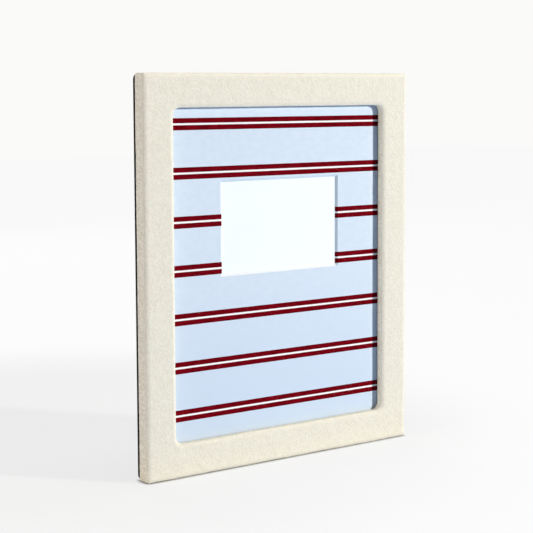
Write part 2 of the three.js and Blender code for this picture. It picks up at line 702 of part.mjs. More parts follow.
// The hanger: a strip with flat feet and a raised middle whose lower edge is toothed.
function addHanger() {
  const [end, bend] = [HANGER_LENGTH / 2, HANGER_LENGTH / 2 - HANGER_FOOT];
  const flat = bend - HANGER_RISE;
  const [t, top] = [HANGER_THICKNESS, HANGER_RISE + HANGER_THICKNESS];
  const section = new THREE.Shape(
    [
      [-end, 0],
      [-bend, 0],
      [-flat, HANGER_RISE],
      [flat, HANGER_RISE],
      [bend, 0],
      [end, 0],
      [end, t],
      [bend, t],
      [flat, top],
      [-flat, top],
      [-bend, t],
      [-end, t],
    ].map(([x, y]) => new THREE.Vector2(x, y)),
  );
  const strip = new THREE.ExtrudeGeometry(section, { depth: HANGER_HEIGHT, bevelEnabled: false });
  let hanger = toSolid(strip.translate(0, 0, -HANGER_HEIGHT / 2));
  const low = -HANGER_HEIGHT / 2;
  const teeth = Math.floor((2 * flat) / TOOTH_PITCH);
  for (let tooth = 0; tooth < teeth; tooth++) {
    const x = (tooth - (teeth - 1) / 2) * TOOTH_PITCH;
    const notch = roundedOutline([
      [x - TOOTH_PITCH / 2, low - LAYER_GAP, 0],
      [x + TOOTH_PITCH / 2, low - LAYER_GAP, 0],
      [x, low + TOOTH_HEIGHT, 0],
    ]);
    hanger = hanger.subtract(toSolid(plate(notch, top + LAYER_GAP)));
  }
  for (const { x } of HANGER_NAILS) {
    const hole = barAlongY(HANGER_NAIL_RADIUS + LAYER_GAP, -LAYER_GAP, t + LAYER_GAP, x, 0);
    hanger = hanger.subtract(toSolid(hole));
  }
  const seat = BOARD_BACK + SHEET_GAP;
  addPiece("sawtooth_hanger", toGeometry(hanger), BRASSED, [0, seat, HANGER_Z]);

  const headSeat = seat + t + SHEET_GAP;
  const nailDepth = HANGER_NAIL_LENGTH - (headSeat - BOARD_BACK) - LAYER_GAP;
  for (const { name, x } of HANGER_NAILS) {
    const nail = fastener(
      HANGER_NAIL_RADIUS,
      nailDepth,
      HANGER_NAIL_HEAD_RADIUS,
      HANGER_NAIL_HEAD_HEIGHT,
      2 * HANGER_NAIL_RADIUS,
    );
    addPiece(`hanger_nail_${name}`, nail, STEEL, [x, headSeat, HANGER_Z]);
  }
}

addRails();
addPiece("fabric_cover", fabricCover(), FELT);
addSheets();
addBackBoards();
addTurnButtons();
addStrut();
addHanger();

export default frame;
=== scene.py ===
"""A felt-covered picture frame: a striped mat behind glazing, and black boards and brass at the back."""

import json
import math

import bmesh
import bpy
from mathutils import Matrix, Vector, noise

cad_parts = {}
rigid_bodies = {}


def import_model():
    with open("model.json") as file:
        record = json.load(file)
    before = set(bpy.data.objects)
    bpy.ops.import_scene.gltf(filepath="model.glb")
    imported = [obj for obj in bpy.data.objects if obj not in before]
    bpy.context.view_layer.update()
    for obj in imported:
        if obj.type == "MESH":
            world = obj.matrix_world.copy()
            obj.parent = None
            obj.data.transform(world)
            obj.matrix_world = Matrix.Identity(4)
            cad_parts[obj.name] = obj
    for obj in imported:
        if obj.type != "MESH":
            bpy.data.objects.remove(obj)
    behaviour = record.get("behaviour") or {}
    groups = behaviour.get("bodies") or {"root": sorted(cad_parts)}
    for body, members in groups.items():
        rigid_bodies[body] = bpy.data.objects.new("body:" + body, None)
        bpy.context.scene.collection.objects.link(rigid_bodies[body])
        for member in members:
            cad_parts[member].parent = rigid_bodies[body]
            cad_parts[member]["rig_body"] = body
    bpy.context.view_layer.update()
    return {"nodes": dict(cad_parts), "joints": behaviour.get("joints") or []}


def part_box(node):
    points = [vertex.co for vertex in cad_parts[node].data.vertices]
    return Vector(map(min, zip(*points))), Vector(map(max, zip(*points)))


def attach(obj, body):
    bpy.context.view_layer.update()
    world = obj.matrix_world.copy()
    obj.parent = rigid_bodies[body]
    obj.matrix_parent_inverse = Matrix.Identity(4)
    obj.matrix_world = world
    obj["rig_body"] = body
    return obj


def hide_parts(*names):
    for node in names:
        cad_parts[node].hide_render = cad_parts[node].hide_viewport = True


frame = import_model()

MM = 0.001
NODES = frame["nodes"]
JOINTS = {joint["name"]: joint for joint in frame["joints"]}
RAILS = ["rail_top", "rail_right", "rail_bottom", "rail_left"]

COVER_LOW, COVER_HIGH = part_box("fabric_cover")
COVER_SIZE = COVER_HIGH - COVER_LOW
MIDDLE = (COVER_LOW + COVER_HIGH) / 2
STRUT_AXIS = Vector((*JOINTS["strut_fold"]["pos_m"][:2], 0))
STRUT_OPEN_ANGLE = math.radians(-JOINTS["strut_fold"]["range_deg"][0])


# Materials

def srgb(red, green, blue):
    """A colour from its screen values of 0 to 255."""
    return [((c / 255 + 0.055) / 1.055) ** 2.4 if c > 10 else c / 255 / 12.92 for c in (red, green, blue)]


class Value:
    """A socket among a finish's nodes. Arithmetic on it adds Math nodes."""

    def __init__(self, finish, socket):
        self.finish = finish
        self.socket = socket

    def maths(self, operation, *values):
        return self.finish.node("ShaderNodeMath", {"operation": operation}, dict(enumerate(values)))

    def __add__(self, other):
        return self.maths("ADD", self, other)

    def __radd__(self, other):
        return self.maths("ADD", other, self)

    def __sub__(self, other):
        return self.maths("SUBTRACT", self, other)

    def __rsub__(self, other):
        return self.maths("SUBTRACT", other, self)

    def __mul__(self, other):
        return self.maths("MULTIPLY", self, other)

    def __rmul__(self, other):
        return self.maths("MULTIPLY", other, self)

    def __truediv__(self, other):
        return self.maths("DIVIDE", self, other)

    def __abs__(self):
        return self.maths("ABSOLUTE", self)


class Finish:
    """A material, with one method that adds a node and gives back one of its outputs."""

    def __init__(self, name, **constants):
        self.material = bpy.data.materials.new(name)
        self.material.use_nodes = True
        self.tree = self.material.node_tree
        self.shader = self.tree.nodes["Principled BSDF"]
        self.output = self.tree.nodes["Material Output"]
        for socket, value in constants.items():
            self.set(self.shader, socket.replace("_", " "), value)
        self.place = self.node("ShaderNodeTexCoord", {}, {}, "Object")

    def set(self, node, key, value):
        """Links or sets one input, by its name in any case or by its number."""
        names = [socket.name.lower() for socket in node.inputs]
        socket = node.inputs[key if isinstance(key, int) else names.index(key.lower())]
        if isinstance(value, Value):
            self.tree.links.new(value.socket, socket)
        elif socket.type == "RGBA":
            socket.default_value = [*value, 1.0]
        else:
            socket.default_value = value

    def node(self, kind, settings, inputs, output=0):
        made = self.tree.nodes.new(kind)
        for name, value in settings.items():
            setattr(made, name, value)
        for key, value in inputs.items():
            self.set(made, key, value)
        return Value(self, made.outputs[output])

    def axis(self, letter):
        """One coordinate of the surface, in metres."""
        return self.node("ShaderNodeSeparateXYZ", {}, {"Vector": self.place}, letter)

    def noise(self, size, detail=2.0, stretch=(1, 1, 1)):
        """Noise about 0.5 whose grains have a size in metres, drawn out by a stretch."""
        scale = [1 / (size * s) for s in stretch]
        place = self.node("ShaderNodeMapping", {}, {"Vector": self.place, "Scale": scale})
        return self.node("ShaderNodeTexNoise", {}, {"Vector": place, "Scale": 1.0, "Detail": detail})

    def ramp(self, value, low, high):
        """A smooth step from 0 at one value to 1 at another."""
        inputs = {"Value": value, "From Min": low, "From Max": high}
        return self.node("ShaderNodeMapRange", {"interpolation_type": "SMOOTHSTEP"}, inputs)

    def mix(self, share, first, second):
        """One colour going over into another, by the Mix node's own numbers for its colour sockets."""
        return self.node("ShaderNodeMix", {"data_type": "RGBA"}, {0: share, 6: first, 7: second}, 2)

    def colour(self, value):
        self.set(self.shader, "Base Color", value)

    def roughness(self, value):
        self.set(self.shader, "Roughness", value)

    def bump(self, height, depth):
        """Relief from a height of 0 to 1 that stands for a depth in metres."""
        relief = self.node("ShaderNodeBump", {}, {"Strength": 1.0, "Distance": depth, "Height": height})
        self.set(self.shader, "Normal", relief)


# The felt is more mottled where it turns down its sides than on its face
FACE_SHADE = srgb(229, 222, 203)
FACE_LIGHT = srgb(243, 237, 220)
SIDE_SHADE = srgb(216, 207, 187)
SIDE_LIGHT = srgb(252, 247, 232)
SIDE_MOTTLING = 0.45
SIDE_START = 1 * MM
SIDE_END = 7 * MM


def cream_felt():
    felt = Finish("cream_felt", sheen_weight=0.1, sheen_roughness=0.6, specular_ior_level=0.0)
    tufts = felt.noise(size=2.6 * MM, detail=3)
    fibres = felt.noise(size=0.5 * MM, stretch=(1, 1, 2.5))
    mottle = felt.noise(size=6 * MM)
    tone = tufts * 0.45 + fibres * 0.4 + mottle * 0.15
    face = felt.mix(felt.ramp(tone, 0.3, 0.7), FACE_SHADE, FACE_LIGHT)
    ruffle = felt.noise(size=3.2 * MM, detail=3, stretch=(1, 1.5, 0.8))
    sides = felt.mix(felt.ramp(ruffle, 0.36, 0.64), SIDE_SHADE, SIDE_LIGHT)
    turned = felt.ramp(felt.axis("Y") - COVER_LOW.y, SIDE_START, SIDE_END)
    felt.colour(felt.mix(turned * SIDE_MOTTLING, face, sides))
    felt.roughness(0.9 + fibres * 0.1)
    felt.bump(tufts * 0.65 + fibres * 0.35, depth=0.85 * MM)
    return felt.material


# Stripes of the mat: a white line between two red ones
STRIPE_PITCH = 50 * MM
STRIPE_RED = 5.15 * MM
STRIPE_WHITE = 2.0 * MM
TOP_STRIPE = 362.0 * MM
STRIPE_SLOPE = -0.002
STRIPE_WANDER = 0.25 * MM
PRINT_BLEED = 0.12 * MM
RED_DARK = srgb(98, 4, 13)
RED_LIGHT = srgb(128, 9, 23)
LINE_WHITE = srgb(252, 250, 248)

# Blue of the mat: deeper towards the bottom by painted shade, and paler where the paper turns over the
# window's edge, with a painted highlight along the window's bottom edge
BLUE_DARK = srgb(215, 227, 238)
BLUE_LIGHT = srgb(219, 230, 240)
BLUE_PAINTED_SHADE = srgb(209, 222, 236)
# Pale colour of the turned paper, also used as a painted highlight on the window's bottom edge
BLUE_TURNED_AND_HIGHLIGHT = srgb(242, 243, 246)
SHADE_FULL_HEIGHT = 20 * MM
SHADE_END_HEIGHT = 280 * MM
TURN_START = 0.1 * MM
TURN_END = 0.3 * MM
TURNED_SHARE = 0.3
# Heights of the window's bottom edge, which gets a painted highlight
HIGHLIGHT_EDGE_TOP = 207 * MM
HIGHLIGHT_EDGE_BOTTOM = 205 * MM


def striped_paper():
    paper = Finish("striped_paper", specular_ior_level=0.0)
    x, y, z = (paper.axis(letter) for letter in "XYZ")
    wander = (paper.noise(size=3 * MM) - 0.5) * STRIPE_WANDER
    height = z - x * STRIPE_SLOPE - TOP_STRIPE + wander
    pitches = height / STRIPE_PITCH + 0.5
    distance = abs(pitches - pitches.maths("FLOOR", pitches) - 0.5) * STRIPE_PITCH
    half = STRIPE_WHITE / 2
    white = paper.ramp(distance, half + PRINT_BLEED, half - PRINT_BLEED)
    rim = half + STRIPE_RED
    striped = paper.ramp(distance, rim + PRINT_BLEED, rim - PRINT_BLEED)

    wash = paper.noise(size=9 * MM, detail=3, stretch=(1, 1, 0.6))
    blue = paper.mix(paper.ramp(wash, 0.3, 0.7), BLUE_DARK, BLUE_LIGHT)
    # Painted shade: the blue deepens towards the bottom of the mat.
    blue = paper.mix(paper.ramp(z, SHADE_FULL_HEIGHT, SHADE_END_HEIGHT), BLUE_PAINTED_SHADE, blue)
    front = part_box("mat_facing")[0].y
    turned = paper.ramp(y, front + TURN_START, front + TURN_END)
    # Painted highlight: along the window's bottom edge the turned paper goes fully pale, as if lit from
    # above.
    painted_highlight_edge = paper.ramp(z, HIGHLIGHT_EDGE_TOP, HIGHLIGHT_EDGE_BOTTOM)
    blue = paper.mix(turned * (TURNED_SHARE + (1 - TURNED_SHARE) * painted_highlight_edge), blue, BLUE_TURNED_AND_HIGHLIGHT)

    streak = paper.noise(size=1.2 * MM, stretch=(12, 1, 1))
    red = paper.mix(paper.ramp(streak, 0.3, 0.7), RED_DARK, RED_LIGHT)
    inked = paper.mix(striped, blue, red)
    paper.colour(paper.mix(white, inked, LINE_WHITE))
    grain = paper.noise(size=0.35 * MM)
    paper.roughness(0.75 + grain * 0.2)
    paper.bump(grain, depth=0.05 * MM)
    return paper.material


def mat_core():
    core = Finish("mat_core", specular_ior_level=0.0)
    pulp = core.noise(size=0.6 * MM, detail=3)
    core.colour(core.mix(pulp, srgb(240, 240, 236), srgb(252, 252, 249)))
    core.roughness(0.85 + pulp * 0.1)
    core.bump(pulp, depth=0.04 * MM)
    return core.material


def print_paper():
    sheet = Finish("print_paper", specular_ior_level=0.0)
    grain = sheet.noise(size=0.8 * MM)
    cast = sheet.noise(size=60 * MM, detail=1)
    sheet.colour(sheet.mix(cast, srgb(246, 254, 254), srgb(250, 255, 255)))
    sheet.roughness(0.4 + grain * 0.2)
    sheet.bump(grain, depth=0.01 * MM)
    return sheet.material


def clear_glazing():
    """Clear from the front, with a gloss that grows at a slant."""
    glass = Finish("clear_glazing")
    film = glass.noise(size=45 * MM)
    slant = glass.node("ShaderNodeLayerWeight", {}, {"Blend": 0.5}, "Facing")
    grazing = slant.maths("POWER", slant, 5.0)
    clear = glass.node("ShaderNodeBsdfTransparent", {}, {"Color": (1, 1, 1)})
    gloss = glass.node("ShaderNodeBsdfGlossy", {}, {"Color": (0.95, 0.98, 0.98), "Roughness": 0.02})
    pane = glass.node("ShaderNodeMixShader", {}, {0: grazing * (0.5 + film * 0.1), 1: clear, 2: gloss})
    glass.set(glass.output, "Surface", pane)
    return glass.material


def black_flock(name, dark, light):
    """Board faced with short black pile, a little rubbed."""
    board = Finish(name, sheen_weight=0.08, sheen_roughness=0.5, specular_ior_level=0.05)
    pile = board.noise(size=0.4 * MM)
    rub = board.noise(size=14 * MM, detail=4)
    tone = pile * 0.6 + rub * 0.4
    board.colour(board.mix(board.ramp(tone, 0.35, 0.7), dark, light))
    board.roughness(0.85 + pile * 0.15)
    board.bump(pile, depth=0.12 * MM)
    return board.material


def plated_metal(name, dull, bright):
    """Plated sheet metal: drawing marks, a cloudy tarnish and a satin gloss."""
    metal = Finish(name, metallic=1.0)
    marks = metal.noise(size=0.15 * MM, stretch=(1, 1, 14))
    clean = metal.ramp(metal.noise(size=5 * MM, detail=4), 0.3, 0.65)
    metal.colour(metal.mix(clean, dull, bright))
    metal.roughness(0.38 - clean * 0.06 + marks * 0.08)
    metal.bump(marks, depth=0.008 * MM)
    return metal.material


def fibreboard():
    board = Finish("fibreboard", specular_ior_level=0.2)
    flecks = board.noise(size=0.9 * MM, detail=4)
    dust = board.noise(size=9 * MM)
    board.colour(board.mix(flecks * 0.7 + dust * 0.3, srgb(150, 113, 76), srgb(205, 172, 130)))
    board.roughness(0.8 + flecks * 0.15)
    board.bump(flecks, depth=0.08 * MM)
    return board.material


def greyboard():
    board = Finish("greyboard", specular_ior_level=0.2)
    flecks = board.noise(size=0.7 * MM, detail=4, stretch=(3, 1, 1))
    board.colour(board.mix(board.ramp(flecks, 0.25, 0.75), srgb(146, 134, 117), srgb(184, 173, 155)))
    board.roughness(0.85 + flecks * 0.1)
    board.bump(flecks, depth=0.05 * MM)
    return board.material


FELT = cream_felt()
STRIPED_PAPER = striped_paper()
MAT_CORE = mat_core()
PRINT_PAPER = print_paper()
GLAZING = clear_glazing()
BACK_FLOCK = black_flock("back_flock", srgb(22, 21, 20), srgb(40, 39, 37))
PANEL_FLOCK = black_flock("panel_flock", srgb(36, 35, 33), srgb(62, 60, 57))
BRASS = plated_metal("brass_plate", srgb(190, 152, 88), srgb(212, 178, 110))
ZINC = plated_metal("zinc_plate", srgb(176, 178, 181), srgb(205, 207, 210))
FIBREBOARD = fibreboard()
GREYBOARD = greyboard()


# Modelling steps

TOUCH = 0.01 * MM
WELD = 0.001 * MM
SHARP_ANGLE = math.radians(40)
SMOOTH_ANGLE = math.radians(38)
FACING = 0.9
ALONG = 0.999
RIGHT = (1, 0, 0)
UP = (0, 0, 1)


def select_only(piece):
    bpy.ops.object.select_all(action="DESELECT")
    bpy.context.view_layer.objects.active = piece
    piece.select_set(True)


def start(name, add, **settings):
    """Adds a primitive and opens it in edit mode."""
    bpy.ops.object.select_all(action="DESELECT")
    add(**settings)
    piece = bpy.context.object
    piece.name = piece.data.name = name
    bpy.ops.object.transform_apply(location=True, rotation=True, scale=True)
    bpy.ops.object.mode_set(mode="EDIT")
    return piece


def start_block(name, low, high):
    low, high = Vector(low), Vector(high)
    piece = start(name, bpy.ops.mesh.primitive_cube_add, size=1)
    bpy.ops.transform.resize(value=high - low, center_override=(0, 0, 0))
    bpy.ops.transform.translate(value=(low + high) / 2)
    return piece


def pick(piece, kind, test):
    """Selects the vertices, edges or faces that pass a test, and nothing else."""
    bpy.ops.mesh.select_mode(type={"verts": "VERT", "edges": "EDGE", "faces": "FACE"}[kind])
    bpy.ops.mesh.select_all(action="DESELECT")
    mesh = bmesh.from_edit_mesh(piece.data)
    for part in getattr(mesh, kind):
        if test(part):
            part.select_set(True)
    bmesh.update_edit_mesh(piece.data)


def near(value, target):
    return abs(value - target) < TOUCH


def runs_along(edge, axis):
    """Whether an edge runs along the axis with that number."""
    way = edge.verts[1].co - edge.verts[0].co
    return abs(way[axis]) > ALONG * way.length


def cut(point, normal):
    """Cuts all faces of the open piece along a plane."""
    bpy.ops.mesh.select_all(action="SELECT")
    bpy.ops.mesh.bisect(plane_co=point, plane_no=normal)


def extrude(offset):
    """Draws the selected faces out of the open piece."""
    bpy.ops.mesh.extrude_region_move(TRANSFORM_OT_translate={"value": offset})


def round_edges(radius, steps):
    """Rounds the selected edges of the open piece."""
    bpy.ops.mesh.bevel(offset=radius, segments=steps, affect="EDGES")


def soften(width, steps=2):
    """Rounds every edge of the open piece that is sharp to the eye, and closes edit mode."""
    bpy.ops.mesh.select_mode(type="EDGE")
    bpy.ops.mesh.select_all(action="DESELECT")
    bpy.ops.mesh.edges_select_sharp(sharpness=SHARP_ANGLE)
    round_edges(width, steps)
    close()


def close():
    """Closes edit mode with the faces pointing out and smooth shading between sharp edges."""
    bpy.ops.mesh.select_all(action="SELECT")
    bpy.ops.mesh.remove_doubles(threshold=WELD)
    bpy.ops.mesh.normals_make_consistent(inside=False)
    bpy.ops.object.mode_set(mode="OBJECT")
    bpy.ops.object.shade_smooth_by_angle(angle=SMOOTH_ANGLE)


def apply_modifier(piece, kind, **settings):
    select_only(piece)
    modifier = piece.modifiers.new(kind.title(), kind)
    for name, value in settings.items():
        setattr(modifier, name, value)
    bpy.ops.object.modifier_apply(modifier=modifier.name)


def put(piece, place, axis="Z", angle=0.0):
    """Turns a piece about the origin, moves it to its place and leaves both in its mesh."""
    select_only(piece)
    piece.matrix_world = Matrix.Translation(place) @ Matrix.Rotation(angle, 4, axis)
    bpy.ops.object.transform_apply(location=True, rotation=True, scale=True)
    return piece


def copy_of(piece, name):
    select_only(piece)
    bpy.ops.object.duplicate(linked=False)
    made = bpy.context.object
    made.name = made.data.name = name
    return made


def stands_for(piece, node, material):
    """Puts a finished piece in a solid's place, on the same body."""
    piece.data.materials.clear()
    piece.data.materials.append(material)
    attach(piece, NODES[node]["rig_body"])
    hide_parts(node)


def dress(node, material):
    """Gives a solid that stays its finish."""
    NODES[node].data.materials.clear()
    NODES[node].data.materials.append(material)


# Felt cover

LIP_OVERLAP = 3 * MM
LIP_DEPTH = 8.8 * MM
FACE_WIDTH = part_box("glazing")[0].x + LIP_OVERLAP - COVER_LOW.x
FELT_THICKNESS = 1.2 * MM
FELT_TURN_IN = 14 * MM
BACK_EDGE_RADIUS = 1.5 * MM
FELT_STEP = 1.9 * MM
EDGE_STEPS = 7

# Soft edges of the face: the radius and angle of a gentle roll, then the radius of a sharper turn
FRONT_ROLL_RADIUS = 6.5 * MM
FRONT_ROLL_ANGLE = 45
FRONT_TURN_RADIUS = 2.2 * MM
LIP_ROLL_RADIUS = 7 * MM
LIP_ROLL_ANGLE = 40
LIP_TURN_RADIUS = 1.3 * MM

# Corners of the rings: their radius shrinks over the front edge and widens towards the opening
FRONT_EDGE_WIDTH = 6.5 * MM
LIP_EDGE_WIDTH = 3.2 * MM
CORNER_RADIUS = 2.5 * MM
CORNER_STEPS = 8
CORNER_TAPER = 3
CORNER_ZONE = 24 * MM
OPENING_CORNER_RADIUS = 8 * MM

# Relief of the felt: sizes and heights of waves, lumps and tufts, then pulls at the opening's corners
RELIEF = ((34 * MM, 0.2 * MM), (9 * MM, 0.12 * MM), (4 * MM, 0.12 * MM))
PULL_HEIGHT = 0.22 * MM
PULL_SIZE = 11 * MM
PULL_REACH = 4
PULL_FADE = 1.6
PULL_FOLDS = 7
PULL_PHASE = 2.1


def arc_angles(first, last):
    return [math.radians(first + (last - first) * i / EDGE_STEPS) for i in range(EDGE_STEPS + 1)]


def soft_edge(roll, turn, angle):
    """An edge of the face, from the face to its wall, as distances from the wall and depths."""
    across = turn + (roll - turn) * math.sin(math.radians(angle))
    deep = roll - (roll - turn) * math.cos(math.radians(angle))
    gentle = [(across - roll * math.sin(a), roll - roll * math.cos(a)) for a in arc_angles(0, angle)]
    sharp = [(turn - turn * math.sin(a), deep - turn * math.cos(a)) for a in arc_angles(angle, 90)]
    return gentle + sharp[1:]


def felt_section():
    """The felt's outer surface: turned in at the back, round the side, over the face and down the lip."""
    back = BACK_EDGE_RADIUS
    side = COVER_SIZE.y - back
    tuck = [(back + back * math.cos(a), side + back * math.sin(a)) for a in arc_angles(90, 180)]
    outside = soft_edge(FRONT_ROLL_RADIUS, FRONT_TURN_RADIUS, FRONT_ROLL_ANGLE)
    inside = soft_edge(LIP_ROLL_RADIUS, LIP_TURN_RADIUS, LIP_ROLL_ANGLE)
    lip = [(FACE_WIDTH - across, depth) for across, depth in inside]
    corners = [(FELT_TURN_IN, COVER_SIZE.y), *tuck, *reversed(outside), *lip, (FACE_WIDTH, LIP_DEPTH)]
    points = [Vector(corners[0])]
    for corner in corners[1:]:
        first = points[-1]
        step = Vector(corner) - first
        count = max(1, round(step.length / FELT_STEP))
        points += [first + step * (i + 1) / count for i in range(count)]
    return points


def corner_radius(inset):
    """The felt's corner radius at an inset: small outside, and wider towards the opening."""
    smallest = CORNER_RADIUS / CORNER_TAPER
    if inset < FRONT_EDGE_WIDTH:
        return max(CORNER_RADIUS - inset / CORNER_TAPER, smallest)
    lip = FACE_WIDTH - LIP_EDGE_WIDTH
    share = min(1, (inset - FRONT_EDGE_WIDTH) / (lip - FRONT_EDGE_WIDTH))
    widest = OPENING_CORNER_RADIUS + min(LIP_EDGE_WIDTH, FACE_WIDTH - inset)
    return smallest * (1 - share) + widest * share


def rerounded(across, down, old, new):
    """Moves a ring's point to a new corner radius, by its distances from the ring's two sides."""
    quarter = math.pi / 4
    if across < old and down < old:
        along = old * (math.atan2(old - across, old - down) - quarter)
    elif across < down:
        along = old * quarter + down - old
    else:
        along = old - old * quarter - across
    reach = CORNER_ZONE - old + old * quarter
    if abs(along) > reach:
        return across, down
    along *= (CORNER_ZONE - new + new * quarter) / reach
    turn = along / new
    if abs(turn) < quarter:
        return new - new * math.sin(quarter + turn), new - new * math.cos(quarter + turn)
    far = abs(along) - new * quarter + new
    return (0, far) if along > 0 else (far, 0)


def round_corners(piece, section, count):
    """Gives each ring of the felt, of so many vertices, the corner radius for its inset."""
    first = COVER_SIZE.x - 2 * section[0].x
    for vertex in piece.data.vertices:
        inset = section[vertex.index // count].x
        half = Vector((COVER_SIZE.x, COVER_SIZE.z)) / 2 - Vector((inset, inset))
        offset = vertex.co - MIDDLE
        old = CORNER_RADIUS * 2 * half.x / first
        new = corner_radius(inset)
        across, down = rerounded(half.x - abs(offset.x), half.y - abs(offset.z), old, new)
        vertex.co.x = MIDDLE.x + math.copysign(half.x - across, offset.x)
        vertex.co.z = MIDDLE.z + math.copysign(half.y - down, offset.z)


def felt_relief(point):
    """How far the felt stands above its even surface at a point, in metres."""
    return sum(noise.noise(point / size) * height for size, height in RELIEF) + pull_relief(point)


def pull_relief(point):
    """Small pulls that fan out from the opening's corners."""
    half_width = COVER_SIZE.x / 2 - FACE_WIDTH
    half_height = COVER_SIZE.z / 2 - FACE_WIDTH
    away = Vector((abs(point.x) - half_width, abs(point.z - MIDDLE.z) - half_height))
    reach = away.length / PULL_SIZE
    if reach > PULL_REACH:
        return 0.0
    phase = PULL_PHASE * math.copysign(1, point.x) + math.copysign(1, point.z - MIDDLE.z)
    folds = math.cos(PULL_FOLDS * math.atan2(away.y, away.x) + phase)
    return PULL_HEIGHT * folds * reach * math.exp(-PULL_FADE * reach)


def felt_ring(name, inset, depth):
    """Opens a rounded ring of edges, with vertices one felt step apart."""
    width, height = COVER_SIZE.x - 2 * inset, COVER_SIZE.z - 2 * inset
    piece = start(name, bpy.ops.mesh.primitive_plane_add, size=1, rotation=(math.pi / 2, 0, 0))
    bpy.ops.transform.resize(value=(width, 1, height), center_override=(0, 0, 0))
    bpy.ops.transform.translate(value=(MIDDLE.x, COVER_LOW.y + depth, MIDDLE.z))
    bpy.ops.mesh.select_mode(type="VERT")
    bpy.ops.mesh.select_all(action="SELECT")
    bpy.ops.mesh.bevel(offset=CORNER_RADIUS, segments=CORNER_STEPS, affect="VERTICES")
    pick(piece, "faces", lambda face: True)
    bpy.ops.mesh.delete(type="ONLY_FACE")
    for axis, length in ((0, width), (2, height)):
        pick(piece, "edges", lambda edge: runs_along(edge, axis) and edge.calc_length() > length / 2)
        bpy.ops.mesh.subdivide(number_cuts=round(length / FELT_STEP) - 1)
    pick(piece, "edges", lambda edge: True)
    return piece


def felt_cover():
    section = felt_section()
    inset, depth = section[0]
    piece = felt_ring("felt_cover", inset, depth)
    count = len(bmesh.from_edit_mesh(piece.data).verts)
    width, height = COVER_SIZE.x - 2 * inset, COVER_SIZE.z - 2 * inset
    for next_inset, next_depth in section[1:]:
        next_width, next_height = COVER_SIZE.x - 2 * next_inset, COVER_SIZE.z - 2 * next_inset
        bpy.ops.mesh.extrude_edges_move(TRANSFORM_OT_translate={"value": (0, next_depth - depth, 0)})
        scale = (next_width / width, 1, next_height / height)
        centre = (MIDDLE.x, COVER_LOW.y + next_depth, MIDDLE.z)
        bpy.ops.transform.resize(value=scale, center_override=centre)
        width, height, depth = next_width, next_height, next_depth
    close()
    round_corners(piece, section, count)
    normals = [vertex.normal.copy() for vertex in piece.data.vertices]
    for vertex, normal in zip(piece.data.vertices, normals):
        vertex.co += normal * felt_relief(vertex.co)
    apply_modifier(piece, "SOLIDIFY", thickness=FELT_THICKNESS, offset=-1)
    stands_for(piece, "fabric_cover", FELT)


# Boards at the back

BACK_COVER_RADIUS = 6 * MM
PANEL_GAP = 0.5 * MM
BOARD_CORNER_STEPS = 6
BOARD_SOFTENING = 0.35 * MM


def back_cover():
    low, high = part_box("back_cover")
    panel_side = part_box("backing_panel")[0].x
    piece = start_block("flocked_back_cover", low, high)
    pick(piece, "faces", lambda face: abs(face.normal.y) > FACING)
    bpy.ops.mesh.inset(thickness=panel_side - low.x - PANEL_GAP)
    bpy.ops.mesh.bridge_edge_loops()
    pick(piece, "edges", lambda edge: runs_along(edge, 1) and near(abs(edge.verts[0].co.x), high.x))
    round_edges(BACK_COVER_RADIUS, BOARD_CORNER_STEPS)
    soften(BOARD_SOFTENING)
    stands_for(piece, "back_cover", BACK_FLOCK)


def backing_panel():
    piece = start_block("flocked_backing_panel", *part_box("backing_panel"))
    soften(BOARD_SOFTENING, steps=3)
    stands_for(piece, "backing_panel", PANEL_FLOCK)


# Pressed plates, domed fixings and the gap under a fixing's head

PLATE_CORNER_RADIUS = 2 * MM
PLATE_CORNER_STEPS = 5
PLATE_SOFTENING = 0.15 * MM
SEAT_GAP = 0.05 * MM
SLOT_WALL = 0.02 * MM


def domed_fixing(name, head_radius, head_height, shank_radius, shank_length, slot=None):
    """A fixing along Y: a domed head behind its seat at Y = 0, and a shank in front of it."""
    add = bpy.ops.mesh.primitive_uv_sphere_add
    piece = start(name, add, segments=32, ring_count=16, radius=1, rotation=(-math.pi / 2, 0, 0))
    bpy.ops.mesh.select_all(action="SELECT")
    bpy.ops.transform.resize(value=(head_radius, head_height, head_radius), center_override=(0, 0, 0))
    bpy.ops.mesh.bisect(plane_co=(0, 0, 0), plane_no=(0, 1, 0), clear_inner=True, use_fill=True)
    pick(piece, "faces", lambda face: face.normal.y < -FACING)
    bpy.ops.mesh.inset(thickness=head_radius - shank_radius)
    extrude((0, -shank_length, 0))
    if slot:
        width, depth = slot
        for side in (-1, 1):
            cut((0, 0, side * width / 2), UP)
            cut((0, 0, side * (width / 2 - SLOT_WALL)), UP)
        floor = head_height - depth
        pick(piece, "verts", lambda v: abs(v.co.z) < (width - SLOT_WALL) / 2 and v.co.y > floor)
        bpy.ops.transform.resize(value=(1, 0, 1), center_override=(0, floor, 0))
    close()
    return piece


# Strut and its hinges, modelled about the pins' axis with the strut folded

HINGE_LENGTH = 40 * MM
LEAF_WIDTH = 15 * MM
LEAF_THICKNESS = 1 * MM
KNUCKLE_RADIUS = 2.4 * MM
KNUCKLE_HALF = 7 * MM
KNUCKLE_GAP = 0.3 * MM
KNUCKLE_STEPS = 22
KNUCKLE_ROLL_ANGLE = math.radians(300)
PIN_RADIUS = 1 * MM
PIN_HEAD_HEIGHT = 0.8 * MM
PIN_SOFTENING = 0.25 * MM
STOP_TOP = 3 * MM
STOP_HALF = 5 * MM
RIVET_REACH = 9.5 * MM
RIVET_RADIUS = 1.2 * MM
RIVET_HEAD_HEIGHT = 1 * MM
STRUT_TOP_WIDTH = 30 * MM
STRUT_FOOT_HEIGHT = 8 * MM
STRUT_WIDTH = 95 * MM
STRUT_THICKNESS = 3 * MM
STRUT_ROUNDING = 6 * MM


